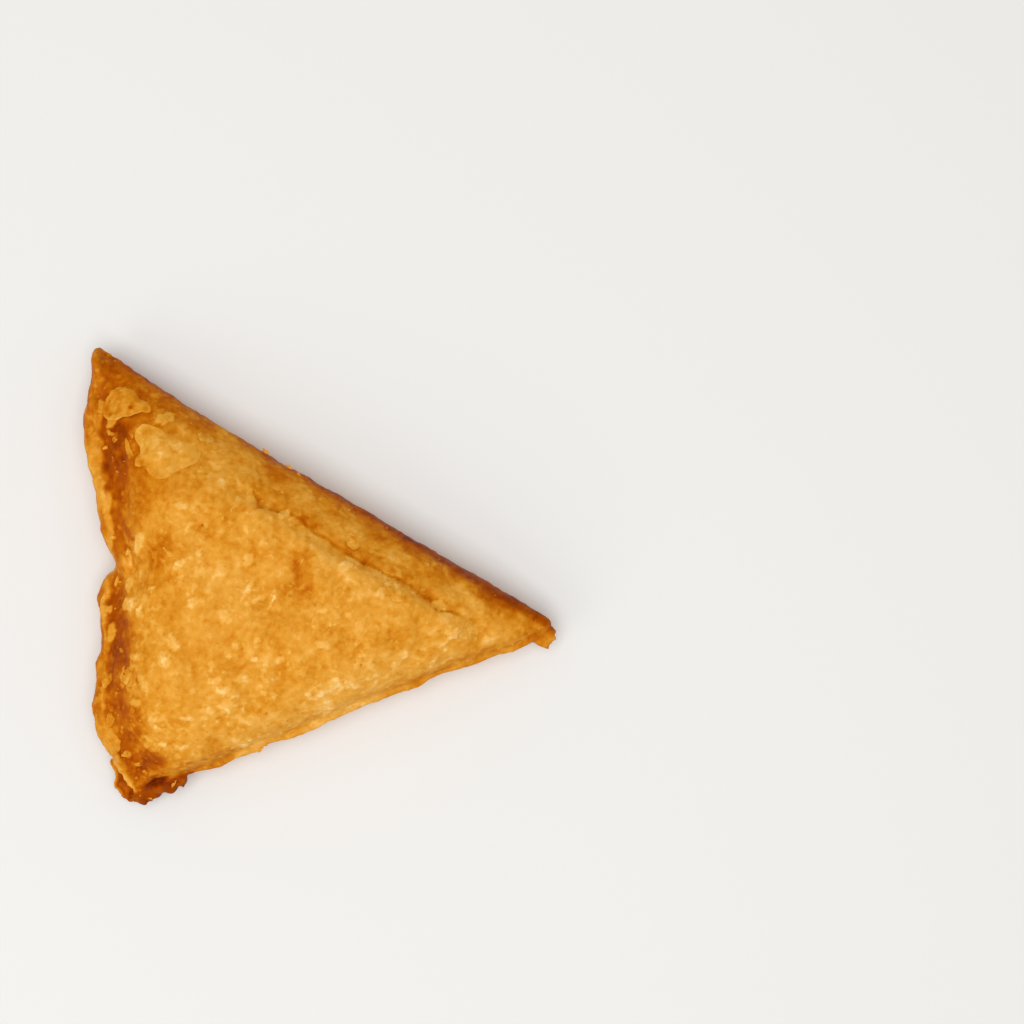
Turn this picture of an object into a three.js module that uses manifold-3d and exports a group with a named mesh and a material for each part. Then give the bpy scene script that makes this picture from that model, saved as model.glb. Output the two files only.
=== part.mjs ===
// A deep-fried samosa: a sheet of flaky pastry folded over its filling into a three-cornered parcel.
// It lies on its flatter face. Two rolled folds close its left side, a thin lip seals its lower side,
// the long side is one smooth fold, and blistered skins of pastry are fused to its face.
// Millimetres, +Z up. The origin is the middle of the parcel's footprint, on the surface it lies on.

import * as THREE from "three";
import { ParametricGeometry } from "three/addons/geometries/ParametricGeometry.js";
import { mergeVertices } from "three/addons/utils/BufferGeometryUtils.js";
import Module from "manifold-3d";

// Heights of the parcel above the surface it lies on
const PEAK = 21.5;
const RIM_AT_TIPS = { top: 6.6, low: 5.2, far: 6.2 };
const RIM_SWELL = 6.5;
const BELLY = 9.4;
const DOME_SHARE = 0.4;
const DOME_POWER = 0.7;

// How far inside each side the face, and the underside, have risen or sunk to their full height.
// The face rises more gently from the left side than from the two folded ones.
const SHOULDER = { left: 14, lower: 15, long: 18 };
const UNDER_SHOULDER = { left: 10, lower: 11, long: 14 };
const GENTLE_RISE = 1.5;

// The parcel's outline in plan: one row of points for each side, from tip to tip
const TOP_TIP = [-42.6, 44.8];
const LOW_TIP = [-35.6, -42];
const FAR_TIP = [46.2, -10.2];
const LEFT_SIDE = [
  TOP_TIP, [-43.4, 36], [-43.4, 28], [-41.7, 19], [-40, 10], [-37.6, 2.4], [-39.8, -4.4], [-40.3, -13],
  [-41.9, -24], [-40.4, -31], [-37.4, -37], LOW_TIP,
];
const LOWER_SIDE = [LOW_TIP, [-31, -40], [-20, -36.4], [-1, -28.7], [20, -20.1], [40, -12.9], FAR_TIP];
const LONG_SIDE = [
  FAR_TIP, [43.6, -7.2], [24, 4.2], [-1, 18.8], [-17.6, 28.4], [-31.7, 37.3], [-40, 43.4], TOP_TIP,
];

// The rolled folds and the sealed lip: middle line in plan with its height, half width and half height
const FOLDS = {
  upper: {
    line: [
      [-43.3, 45.1, 6.4], [-43, 41.5, 6.8], [-42.6, 38.2, 7], [-43.4, 34, 7.2], [-44.2, 29, 7.5],
      [-42.4, 20, 7.7], [-41.2, 13.5, 7.9], [-39.5, 7, 8.3], [-37.6, 3, 9], [-35, -2.4, 11],
    ],
    half: [2.1, 3.6],
    wobble: 0.1,
  },
  lower: {
    line: [
      [-36.4, 2.6, 6.2], [-39.2, 0.2, 6.3], [-41, -4.2, 6.2], [-41, -14, 6.1], [-41.9, -20.5, 6],
      [-42.5, -25.5, 6], [-41.5, -30, 5.9], [-39.8, -34, 5.7], [-37.6, -37.4, 5.5], [-35.4, -40.8, 5.4],
    ],
    half: [2.1, 3.5],
    wobble: 0.13,
  },
  lip: {
    line: [
      [-27.6, -39.1, 5.4], [-20, -36.5, 6.2], [-1, -28.9, 7], [20, -20.3, 7], [40, -13.1, 6.2],
      [45, -10.8, 6],
    ],
    half: [1, 1.4],
    wobble: 0.22,
  },
};
const FOLD_STEPS = { upper: 26, lower: 30, lip: 36 };
const FOLD_SIDES = 10;

// The crumpled ends of the under layer that stick out at the tips: middle, half length, half width,
// half thickness, turn in degrees
const CRUMPLES = [
  [-37.6, -40.4, 4, 5.1, 3, 1.6, 113],
  [-35.4, -42.2, 4.1, 4, 2.6, 1.5, -12],
  [-30.6, -40.7, 4.8, 4, 2.4, 1.7, 5],
  [-27.6, -39.8, 5.2, 1.9, 1.2, 1.1, -55],
  [42.6, -11.2, 4.9, 4.6, 2.5, 1.2, -20],
];
const CRUMPLE_RUFFLE = 0.2;
const CRUMPLE_STEPS = [16, 8];

// The edge of the inner pastry layer, which shows as a crease that runs along inside the long side
const CREASE = { inside: 8.7, depth: 0.8, halfWidth: 1.4, step: 0.5, from: 0.27, to: 0.36 };

// Slow swells of the face: wavelength, direction and phase in degrees, height
const SWELLS = [
  [46, 20, 40, 0.4], [27, 105, 200, 0.35], [17, 60, 10, 0.22], [11, 150, 300, 0.16], [7.5, 15, 80, 0.1],
];

// Blistered skins on the face: middle in plan, half length, half width, turn in degrees
const SKINS = [
  [-37, 33.6, 4.6, 3.2, 15], [-29.2, 25.8, 6.4, 5.6, 60], [-33.9, 7.6, 1.7, 0.9, 75],
  [-36.2, -5.8, 1.8, 1.2, 20], [-28, -13.4, 2.8, 1.9, 120], [-36, -19.6, 1.7, 1.4, 80],
  [-34.6, -24.6, 1.3, 1, 10], [-14.6, 18.6, 2.6, 1.3, 150],
  [2.5, -7, 3.4, 2.4, 35], [16, -2.5, 2.6, 1.9, 160], [8, 7.5, 2.2, 1.6, 70], [30, -10.5, 2.3, 1.5, 20],
];
const SKIN_THICKNESS = 0.55;
const SKIN_ROOT = 0.8;
const SKIN_RINGS = 6;
const SKIN_SECTORS = 12;

// Fineness: grid steps along a side of the face, twice those of the underside
const FACE_STEPS = 66;
const EDGE_CROWDING = 0.13;
const NEAR = 0.02;
const SLIVER = 0.05;

const CRUST = { color: 0xd08a30, roughness: 0.55, metalness: 0 };

const radians = THREE.MathUtils.degToRad;

// A smooth curve through points in plan, or in space where a height is given
function curveOf(points) {
  const places = points.map(([x, y, z = 0]) => new THREE.Vector3(x, y, z));
  return new THREE.CatmullRomCurve3(places, false, "catmullrom", 0.5);
}

const tips = [TOP_TIP, LOW_TIP, FAR_TIP].map(([x, y]) => new THREE.Vector2(x, y));
const twiceArea = tips[1].clone().sub(tips[0]).cross(tips[2].clone().sub(tips[0]));
// The triangle's height over each side, by the weight that is 0 along that side
const reach = {
  a: twiceArea / tips[1].distanceTo(tips[2]),
  b: twiceArea / tips[2].distanceTo(tips[0]),
  c: twiceArea / tips[0].distanceTo(tips[1]),
};
const sides = { left: curveOf(LEFT_SIDE), lower: curveOf(LOWER_SIDE), long: curveOf(LONG_SIDE) };

// How far a side's curve leaves the straight line between its tips, as a share t of the way along it
function bow(side, from, to, t) {
  const onCurve = side.getPointAt(THREE.MathUtils.clamp(t, 0, 1));
  const straight = from.clone().lerp(to, t);
  return new THREE.Vector2(onCurve.x, onCurve.y).sub(straight);
}

// Place in plan of the point with weights a, b and c of the top, low and far tip
function planOf(a, b, c) {
  const place = new THREE.Vector2()
    .addScaledVector(tips[0], a)
    .addScaledVector(tips[1], b)
    .addScaledVector(tips[2], c);
  const bows = [
    [sides.left, tips[0], tips[1], a, b],
    [sides.lower, tips[1], tips[2], b, c],
    [sides.long, tips[2], tips[0], c, a],
  ];
  for (const [side, from, to, w, v] of bows) {
    if (w + v > 0) place.addScaledVector(bow(side, from, to, v / (w + v)), (w + v) ** 3);
  }
  return place;
}

// Quarter of an ellipse: 0 at the edge, where it is steep, and 1 from the shoulder on
const rise = (inside, shoulder) => Math.sqrt(Math.max(0, 1 - (1 - Math.min(inside / shoulder, 1)) ** 2));
const fullness = (a, b, c, shoulder) =>
  rise(c * reach.c, shoulder.left) ** GENTLE_RISE *
  rise(a * reach.a, shoulder.lower) *
  rise(b * reach.b, shoulder.long);

const rimHeight = (a, b, c) =>
  a * RIM_AT_TIPS.top + b * RIM_AT_TIPS.low + c * RIM_AT_TIPS.far + RIM_SWELL * (a * b + b * c + c * a);

function swellAt(x, y) {
  let height = 0;
  for (const [wavelength, direction, phase, size] of SWELLS) {
    const along = x * Math.cos(radians(direction)) + y * Math.sin(radians(direction));
    height += size * Math.sin((2 * Math.PI * along) / wavelength + radians(phase));
  }
  return height;
}

// The crease is a soft groove, and the band outside it lies a little lower than the face
function creaseAt(b, c, y) {
  const inside = b * reach.b - CREASE.inside - 0.5 * Math.sin(y / 3);
  const along = THREE.MathUtils.smoothstep(c, CREASE.from, CREASE.to);
  const groove = CREASE.depth * Math.exp(-((inside / CREASE.halfWidth) ** 2));
  const step = CREASE.step * (1 - THREE.MathUtils.smoothstep(inside, 0, CREASE.halfWidth));
  return -along * (groove + step);
}

// A point of the pastry: on the face, or on the underside
function pastryAt(a, b, c, onFace) {
  const { x, y } = planOf(a, b, c);
  const rim = rimHeight(a, b, c);
  if (!onFace) return new THREE.Vector3(x, y, Math.max(0, rim - BELLY * fullness(a, b, c, UNDER_SHOULDER)));
  const full = fullness(a, b, c, SHOULDER);
  const dome = Math.max(0, 27 * a * b * c) ** DOME_POWER;
  const lift = (PEAK - rim) * ((1 - DOME_SHARE) * full + DOME_SHARE * dome);
  return new THREE.Vector3(x, y, rim + lift + full * (swellAt(x, y) + creaseAt(b, c, y)));
}

// Grid steps crowd towards the sides, so that the steep edge gets its share of them
function crowded(a, b, c) {
  const crowd = (w) => (w * w) / (w + EDGE_CROWDING);
  const sum = crowd(a) + crowd(b) + crowd(c);
  return [crowd(a) / sum, crowd(b) / sum, crowd(c) / sum];
}

// The closed parcel: a triangular grid for the face and one of half as many steps for the underside.
// Where a triangle of the underside meets the rim, the face's point in the middle of that edge splits it.
function parcelGeometry() {
  const positions = [];
  const pointAt = (weights, onFace) =>
    pastryAt(...crowded(...weights.map((w) => w / FACE_STEPS)), onFace);
  const addTriangle = (...corners) => corners.forEach((p) => positions.push(p.x, p.y, p.z));

  const addFan = (weights, onFace) => {
    const ring = [];
    weights.forEach((here, i) => {
      const next = weights[(i + 1) % 3];
      ring.push({ at: here });
      const onRim = here.some((w, k) => w === 0 && next[k] === 0);
      if (!onFace && onRim) ring.push({ at: here.map((w, k) => (w + next[k]) / 2), split: true });
    });
    while (ring.some((r) => r.split) && !ring[0].split) ring.push(ring.shift());
    const points = ring.map((r) => pointAt(r.at, onFace));
    for (let i = 1; i + 1 < points.length; i++) {
      if (onFace) addTriangle(points[0], points[i], points[i + 1]);
      else addTriangle(points[0], points[i + 1], points[i]);
    }
  };

  for (const [onFace, step] of [[true, 1], [false, 2]]) {
    for (let i = 0; i < FACE_STEPS; i += step) {
      for (let j = 0; i + j < FACE_STEPS; j += step) {
        const k = FACE_STEPS - step - i - j;
        addFan([[i + step, j, k], [i, j + step, k], [i, j, k + step]], onFace);
        if (k >= step) {
          const m = k - step;
          addFan([[i + step, j + step, m], [i, j + step, m + step], [i + step, j, m + step]], onFace);
        }
      }
    }
  }
  const geometry = new THREE.BufferGeometry();
  geometry.setAttribute("position", new THREE.Float32BufferAttribute(positions, 3));
  return geometry;
}

// A rolled fold: an oval section carried along its line, rounded off at both ends
function foldGeometry({ line, half, wobble }, steps) {
  const path = curveOf(line);
  const surface = (u, v, target) => {
    const s = (1 - Math.cos(Math.PI * v)) / 2;
    const middle = path.getPointAt(s);
    const forward = path.getTangentAt(s);
    const across = new THREE.Vector3(forward.y, -forward.x, 0).normalize();
    const round = Math.sqrt(Math.max(0, 1 - (2 * s - 1) ** 8));
    const waves = Math.sin(s * 23 + line.length) + 0.7 * Math.sin(s * 41 + 1) + 0.5 * Math.sin(s * 71);
    const uneven = 1 + wobble * waves;
    const angle = -2 * Math.PI * u;
    target
      .copy(middle)
      .addScaledVector(across, half[0] * round * uneven * Math.cos(angle));
    target.z += half[1] * round * (2 - uneven) * Math.sin(angle);
  };
  return new ParametricGeometry(surface, FOLD_SIDES, steps);
}

// A crumpled end: a flat lobe with a ragged outline
function crumpleGeometry([x, y, z, halfLength, halfWidth, halfThickness, turn]) {
  const surface = (u, v, target) => {
    const angle = -2 * Math.PI * u;
    const tilt = Math.PI * (v - 0.5);
    const ragged = 1 + 0.12 * Math.sin(4 * angle + x) + 0.09 * Math.sin(7 * angle + y);
    const along = halfLength * ragged * Math.cos(tilt) * Math.cos(angle);
    const across = halfWidth * ragged * Math.cos(tilt) * Math.sin(angle);
    target.set(
      x + along * Math.cos(radians(turn)) - across * Math.sin(radians(turn)),
      y + along * Math.sin(radians(turn)) + across * Math.cos(radians(turn)),
      z - halfThickness * Math.sin(tilt) * (1 + CRUMPLE_RUFFLE * Math.cos(tilt) * Math.sin(3 * angle)),
    );
  };
  return new ParametricGeometry(surface, ...CRUMPLE_STEPS);
}

// Weights of the tips for a place in plan, as if the sides were straight
function weightsOf(x, y) {
  const to = (p, q) => (tips[q].x - tips[p].x) * (y - tips[p].y) - (tips[q].y - tips[p].y) * (x - tips[p].x);
  return [to(1, 2) / twiceArea, to(2, 0) / twiceArea, to(0, 1) / twiceArea];
}

// A blistered skin: a thin uneven patch that follows the face, with its root inside the pastry
function skinGeometry([x, y, halfLength, halfWidth, turn]) {
  const surface = (u, v, target) => {
    const angle = -2 * Math.PI * u;
    const onTop = v < 0.5;
    const out = onTop ? 2 * v : 2 - 2 * v;
    const ragged = 1 + 0.14 * Math.sin(3 * angle + x) + 0.08 * Math.sin(5 * angle + y);
    const along = out * ragged * halfLength * Math.cos(angle);
    const across = out * ragged * halfWidth * Math.sin(angle);
    const px = x + along * Math.cos(radians(turn)) - across * Math.sin(radians(turn));
    const py = y + along * Math.sin(radians(turn)) + across * Math.cos(radians(turn));
    target.copy(pastryAt(...weightsOf(px, py), true));
    const thickness = SKIN_THICKNESS * (1 - out ** 6);
    target.z += onTop ? thickness : -SKIN_ROOT * (1 - out);
  };
  return new ParametricGeometry(surface, SKIN_SECTORS, SKIN_RINGS);
}

const wasm = await Module();
wasm.setup();

function solidFrom(geometry) {
  const bare = geometry.clone();
  bare.deleteAttribute("normal");
  bare.deleteAttribute("uv");
  const merged = mergeVertices(bare, 1e-3);
  return new wasm.Manifold(
    new wasm.Mesh({
      numProp: 3,
      vertProperties: merged.attributes.position.array,
      triVerts: new Uint32Array(merged.index.array),
    }),
  );
}

function geometryFrom(solid) {
  const { vertProperties, triVerts } = solid.getMesh();
  const geometry = new THREE.BufferGeometry();
  geometry.setAttribute("position", new THREE.BufferAttribute(vertProperties, 3));
  geometry.setIndex(new THREE.BufferAttribute(triVerts, 1));
  geometry.computeVertexNormals();
  return geometry;
}

let pastry = solidFrom(parcelGeometry());
for (const [name, fold] of Object.entries(FOLDS)) {
  pastry = pastry.add(solidFrom(foldGeometry(fold, FOLD_STEPS[name])));
}
for (const crumple of CRUMPLES) pastry = pastry.add(solidFrom(crumpleGeometry(crumple)));
for (const skin of SKINS) pastry = pastry.add(solidFrom(skinGeometry(skin)));
// Fusing leaves slivers, which are merged, and can seal a small hollow, which is filled:
// only the largest outer skin is kept
pastry = pastry.setTolerance(NEAR).asOriginal().simplify(SLIVER);
[pastry] = pastry.decompose().sort((p, q) => q.volume() - p.volume());

const samosa = new THREE.Mesh(geometryFrom(pastry), new THREE.MeshStandardMaterial(CRUST));
samosa.name = "samosa";
samosa.geometry.computeBoundingBox();
const middle = samosa.geometry.boundingBox.getCenter(new THREE.Vector3());
samosa.geometry.translate(-middle.x, -middle.y, 0);

const part = new THREE.Group();
part.add(samosa);

export default part;
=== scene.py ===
import bpy
import numpy as np
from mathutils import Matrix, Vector


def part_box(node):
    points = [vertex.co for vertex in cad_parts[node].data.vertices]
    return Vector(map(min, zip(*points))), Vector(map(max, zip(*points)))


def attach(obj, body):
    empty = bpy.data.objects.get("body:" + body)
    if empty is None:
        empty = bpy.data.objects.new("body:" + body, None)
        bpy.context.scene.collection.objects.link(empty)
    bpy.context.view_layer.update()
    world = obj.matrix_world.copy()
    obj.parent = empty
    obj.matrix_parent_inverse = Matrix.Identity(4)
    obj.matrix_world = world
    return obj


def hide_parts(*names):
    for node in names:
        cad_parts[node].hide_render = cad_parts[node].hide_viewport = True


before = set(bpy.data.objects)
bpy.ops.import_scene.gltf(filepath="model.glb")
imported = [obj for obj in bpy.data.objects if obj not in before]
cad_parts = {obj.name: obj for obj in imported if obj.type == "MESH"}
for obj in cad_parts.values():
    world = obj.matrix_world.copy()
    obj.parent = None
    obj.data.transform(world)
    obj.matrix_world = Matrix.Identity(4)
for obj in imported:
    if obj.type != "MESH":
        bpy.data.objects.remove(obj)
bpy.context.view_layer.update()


# The parcel: a sheet of pastry folded over its filling into three corners and deep-fried on its flatter side.
# Its form is worked out in millimetres from its outline in plan, its rim height and its domed face,
# as one closed surface that runs from the middle of the face over the rim to the middle of the underside.

MM = 0.001
TOP_TIP, LOW_TIP, FAR_TIP = (-42.6, 44.8), (-35.6, -42), (46.2, -10.2)
TIPS = np.array([TOP_TIP, LOW_TIP, FAR_TIP])
LEFT_SIDE = [
    TOP_TIP, (-43.4, 36), (-43.4, 28), (-41.7, 19), (-40, 10), (-37.6, 2.4), (-39.8, -4.4), (-40.3, -13),
    (-41.9, -24), (-40.4, -31), (-37.4, -37), LOW_TIP,
]
LOWER_SIDE = [LOW_TIP, (-31, -40), (-20, -36.4), (-1, -28.7), (20, -20.1), (40, -12.9), FAR_TIP]
LONG_SIDE = [
    FAR_TIP, (43.6, -7.2), (24, 4.2), (-1, 18.8), (-17.6, 28.4), (-31.7, 37.3), (-40, 43.4), TOP_TIP,
]
PEAK, BELLY = 21.5, 9.4
RIM_AT_TIPS, RIM_SWELL = np.array([6.6, 5.2, 6.2]), 6.5
DOME_SHARE, DOME_POWER, GENTLE_RISE = 0.4, 0.7, 1.5
# Millimetres inside the left, lower and long side at which the face and the underside reach their height
SHOULDER, UNDER_SHOULDER = (14, 15, 18), (10, 11, 14)
# Slow swells of the face: wavelength, direction and phase in degrees, height
SWELLS = [
    (46, 20, 40, 0.4), (27, 105, 200, 0.35), (17, 60, 10, 0.22), (11, 150, 300, 0.16), (7.5, 15, 80, 0.1),
]
# The inner layer's edge: a crease along inside the long side
CREASE_INSIDE, CREASE_DEPTH, CREASE_STEP, CREASE_HALF = 8.7, 0.8, 0.5, 1.4
CREASE_FROM, CREASE_TO = 0.27, 0.36
CREASE_WANDER, CREASE_WAVE = 0.5, 3


def edge_length(p, q):
    """Distance between two points."""
    return float(np.hypot(*np.subtract(p, q)))


def cross2(p, q):
    """Cross product of two rows of plan vectors."""
    return p[..., 0] * q[..., 1] - p[..., 1] * q[..., 0]


TWICE_AREA = float(cross2(TIPS[1] - TIPS[0], TIPS[2] - TIPS[0]))
# The triangle's height over the side that faces each tip
REACH = TWICE_AREA / np.array([edge_length(TIPS[k - 2], TIPS[k - 1]) for k in range(3)])


def along_curve(points, shares):
    """Places at the given shares of the length of the Catmull-Rom curve through the points.
    Between two points p1 and p2 it is the cubic with slopes (p2 - p0) / 2 and (p3 - p1) / 2."""
    p = np.asarray(points, float)
    p = np.vstack([2 * p[0] - p[1], p, 2 * p[-1] - p[-2]])
    t = np.linspace(0, len(points) - 1, 60 * len(points))
    i = np.minimum(t.astype(int), len(points) - 2)
    s = (t - i)[:, None]
    before, here, there, after = p[i], p[i + 1], p[i + 2], p[i + 3]
    curve = (
        (2 * s**3 - 3 * s**2 + 1) * here
        + (s**3 - 2 * s**2 + s) * (there - before) / 2
        + (3 * s**2 - 2 * s**3) * there
        + (s**3 - s**2) * (after - here) / 2
    )
    length = np.concatenate([[0], np.cumsum(np.linalg.norm(np.diff(curve, axis=0), axis=1))])
    at = np.clip(shares, 0, 1) * length[-1]
    return np.stack([np.interp(at, length, column) for column in curve.T], axis=-1)


def smoothstep(x, low, high):
    """0 below low, 1 above high, and 3t^2 - 2t^3 between them."""
    t = np.clip((x - low) / (high - low), 0, 1)
    return t * t * (3 - 2 * t)


def plan_of(w):
    """Place in plan for the weights w of the three tips: the straight triangle's place, plus each side's bow
    times the cube of the weight that the side's two tips have together."""
    place = w @ TIPS
    for points, start, end in ((LEFT_SIDE, 0, 1), (LOWER_SIDE, 1, 2), (LONG_SIDE, 2, 0)):
        both = w[..., start] + w[..., end]
        share = np.divide(w[..., end], both, out=np.zeros_like(both), where=both > 0)
        straight = TIPS[start] + share[..., None] * (TIPS[end] - TIPS[start])
        place = place + (along_curve(points, share) - straight) * both[..., None] ** 3
    return place


def weights_of(x, y):
    """Weights of the three tips for a place in plan, as if the sides were straight."""
    place = np.stack([x, y], axis=-1)
    twice_areas = [cross2(TIPS[k - 1] - TIPS[k - 2], place - TIPS[k - 2]) for k in range(3)]
    return np.stack(twice_areas, axis=-1) / TWICE_AREA


def fullness(w, shoulder):
    """Product of a quarter ellipse for each side: 0 at the side and 1 from its shoulder on."""
    inside = [w[..., k] * REACH[k] for k in (2, 0, 1)]
    rises = [np.sqrt(np.clip(1 - (1 - np.minimum(d / s, 1)) ** 2, 0, 1)) for d, s in zip(inside, shoulder)]
    return rises[0] ** GENTLE_RISE * rises[1] * rises[2]


def swell_at(x, y):
    """Sum of slow plane waves."""
    height = np.zeros_like(x)
    for wavelength, direction, phase, size in SWELLS:
        along = x * np.cos(np.radians(direction)) + y * np.sin(np.radians(direction))
        height += size * np.sin(2 * np.pi * along / wavelength + np.radians(phase))
    return height


def crease_at(w, y):
    """A soft groove at a set distance inside the long side, with the band outside it a step lower."""
    inside = w[..., 1] * REACH[1] - CREASE_INSIDE - CREASE_WANDER * np.sin(y / CREASE_WAVE)
    groove = CREASE_DEPTH * np.exp(-((inside / CREASE_HALF) ** 2))
    step = CREASE_STEP * (1 - smoothstep(inside, 0, CREASE_HALF))
    return -smoothstep(w[..., 2], CREASE_FROM, CREASE_TO) * (groove + step)


def pastry_at(w, on_face):
    """Height of the face: the rim's, plus a share for the fullness and one for the dome 27abc of the weights.
    Height of the underside: the rim's less the belly, and never under the table."""
    between_tips = w[..., 0] * w[..., 1] + w[..., 1] * w[..., 2] + w[..., 2] * w[..., 0]
    rim = w @ RIM_AT_TIPS + RIM_SWELL * between_tips
    full = fullness(w, SHOULDER)
    dome = (27 * np.prod(np.clip(w, 0, 1), axis=-1)) ** DOME_POWER
    place = plan_of(w)
    relief = full * (swell_at(place[..., 0], place[..., 1]) + crease_at(w, place[..., 1]))
    face = rim + (PEAK - rim) * ((1 - DOME_SHARE) * full + DOME_SHARE * dome) + relief
    under = np.maximum(0, rim - BELLY * fullness(w, UNDER_SHOULDER))
    return np.concatenate([place, np.where(on_face, face, under)[..., None]], axis=-1)


def closed_grid(points):
    """Vertices and quads of a closed surface from a grid of points: the columns run round it,
    and the first and the last row are the two poles, each a single point."""
    rows, columns, _ = points.shape
    vertices = np.vstack([points[:1, 0], points[1:-1].reshape(-1, 3), points[-1:, 0]])
    i, j = np.meshgrid(np.arange(rows - 3), np.arange(columns), indexing="ij")
    here, there = 1 + i * columns + j, 1 + i * columns + (j + 1) % columns
    quads = np.stack([here, here + columns, there + columns, there], axis=-1).reshape(-1, 4)
    ring, following = 1 + np.arange(columns), 1 + (np.arange(columns) + 1) % columns
    first = np.stack([np.zeros(columns, int), ring, following], axis=-1)
    base, last = (rows - 3) * columns, len(vertices) - 1
    final = np.stack([ring + base, np.full(columns, last), following + base], axis=-1)
    return vertices, [*quads.tolist(), *first.tolist(), *final.tolist()]


def parcel_surface(around=600, across=130, beneath=70):
    """Grid of the whole parcel: the column is the place on the rim, and the row is the way out from the
    middle of the face to the rim, as a sine so that the steep edge gets fine steps, and back under it."""
    t = np.arange(around) / around * 3
    side, s = t.astype(int), t % 1
    rim = np.zeros((around, 3))
    rim[np.arange(around), side] = 1 - s
    rim[np.arange(around), (side + 1) % 3] = s
    out = np.sin(np.linspace(0, np.pi / 2, across))
    back = np.sin(np.linspace(np.pi / 2, 0, beneath))[1:]
    r = np.concatenate([out, back])[:, None, None]
    on_face = np.concatenate([np.ones(across, bool), np.zeros(beneath - 1, bool)])[:, None]
    return pastry_at((1 - r) / 3 + r * rim, on_face)


# The rolled folds, the sealed lip and the crumpled ends: the sheet's edges, rolled up along the left side,
# pinched to a thin lip along the lower side, and crumpled out of the low and the far tip.
# Each is an oval section carried along its line, or a flat ragged lobe, fused to the parcel.

# Middle line in plan with its height, half width, half height, unevenness and depth of the layers' ridges
FOLDS = [
    (
        [
            (-43.3, 45.1, 6.4), (-43, 41.5, 6.8), (-42.6, 38.2, 7), (-43.4, 34, 7.2), (-44.2, 29, 7.5),
            (-42.4, 20, 7.7), (-41.2, 13.5, 7.9), (-39.5, 7, 8.3), (-37.6, 3, 9), (-35, -2.4, 11),
        ],
        2.1, 3.6, 0.1, 0.03,
    ),
    (
        [
            (-36.4, 2.6, 6.2), (-39.2, 0.2, 6.3), (-41, -4.2, 6.2), (-41, -14, 6.1), (-41.9, -20.5, 6),
            (-42.5, -25.5, 6), (-41.5, -30, 5.9), (-39.8, -34, 5.7), (-37.6, -37.4, 5.5), (-35.4, -40.8, 5.4),
        ],
        2.1, 3.5, 0.13, 0.035,
    ),
    (
        [
            (-27.6, -39.1, 5.4), (-20, -36.5, 6.2), (-1, -28.9, 7), (20, -20.3, 7), (40, -13.1, 6.2),
            (45, -10.8, 6),
        ],
        1, 1.4, 0.22, 0,
    ),
]
# Middle, half length, half width, half thickness, turn in degrees
CRUMPLES = [
    (-37.6, -40.4, 4, 5.1, 3, 1.6, 113), (-35.4, -42.2, 4.1, 4, 2.6, 1.5, -12),
    (-30.6, -40.7, 4.8, 4, 2.4, 1.7, 5), (-27.6, -39.8, 5.2, 1.9, 1.2, 1.1, -55),
    (42.6, -11.2, 4.9, 4.6, 2.5, 1.2, -20),
]
RUFFLE = 0.2


def fold_surface(line, half_width, half_height, wobble, ridge, steps=260, sides=64):
    """Oval section round a curve through the line's points, closed by rounding both ends. Its width swells
    with a few sines of the way along, and ridges that wind slowly round it are the rolled layers."""
    s = ((1 - np.cos(np.linspace(0, np.pi, steps))) / 2)[:, None]
    middle = along_curve(line, s[:, 0])
    forward = np.gradient(middle, axis=0)
    forward /= np.linalg.norm(forward, axis=1, keepdims=True)
    aside = np.stack([forward[:, 1], -forward[:, 0], np.zeros(steps)], axis=-1)
    aside /= np.linalg.norm(aside, axis=1, keepdims=True)
    closing = np.sqrt(np.clip(1 - (2 * s - 1) ** 8, 0, 1))
    uneven = 1 + wobble * (np.sin(s * 23 + len(line)) + 0.7 * np.sin(s * 41 + 1) + 0.5 * np.sin(s * 71))
    angle = np.arange(sides)[None, :] / sides * 2 * np.pi
    layers = 1 + ridge * (np.sin(5 * angle + 9 * s) + 0.6 * np.sin(9 * angle - 14 * s + 1))
    across = half_width * closing * uneven * layers * np.cos(angle)
    upward = half_height * closing * (2 - uneven) * layers * np.sin(angle)
    points = middle[:, None, :] + across[..., None] * aside[:, None, :]
    points[..., 2] += upward
    return points


def round_grid(steps, sides):
    """Angles of a closed round grid: from one pole to the other as a column, and round it as a row."""
    return np.linspace(-np.pi / 2, np.pi / 2, steps)[:, None], np.arange(sides)[None, :] / sides * 2 * np.pi


def turned(x, y, along, aside, degrees):
    """Places given along and aside of a middle at x, y, after a turn to the left."""
    c, s = np.cos(np.radians(degrees)), np.sin(np.radians(degrees))
    return x + along * c - aside * s, y + along * s + aside * c


def crumple_surface(x, y, z, half_length, half_width, half_thickness, turn, steps=60, sides=96):
    """A flattened ellipsoid with a ragged outline, whose thickness ruffles three times round."""
    tilt, angle = round_grid(steps, sides)
    ragged = 1 + 0.12 * np.sin(4 * angle + x) + 0.09 * np.sin(7 * angle + y) + 0.05 * np.sin(13 * angle)
    along = half_length * ragged * np.cos(tilt) * np.cos(angle)
    aside = half_width * ragged * np.cos(tilt) * np.sin(angle)
    ruffled = 1 + RUFFLE * np.cos(tilt) * np.sin(3 * angle)
    height = z - half_thickness * np.sin(tilt) * ruffled
    return np.stack([*turned(x, y, along, aside, turn), height], axis=-1)


# The crust: all of the above fused into one skin by a voxel remesh, and then worked over with the relief of
# fried pastry: lumps, puffed layers, blisters, bubbles, dents, pits and the inner layer's edge. How pale and
# how brown each spot is goes into point attributes, which the crust's finish reads.

VOXEL = 0.4
SEED = 41


def mesh_object(name, vertices, faces):
    """A new object in the scene, at the origin, from vertices in millimetres."""
    mesh = bpy.data.meshes.new(name)
    mesh.from_pydata((np.asarray(vertices) * MM).tolist(), [], faces)
    made = bpy.data.objects.new(name, mesh)
    bpy.context.scene.collection.objects.link(made)
    return made


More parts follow.
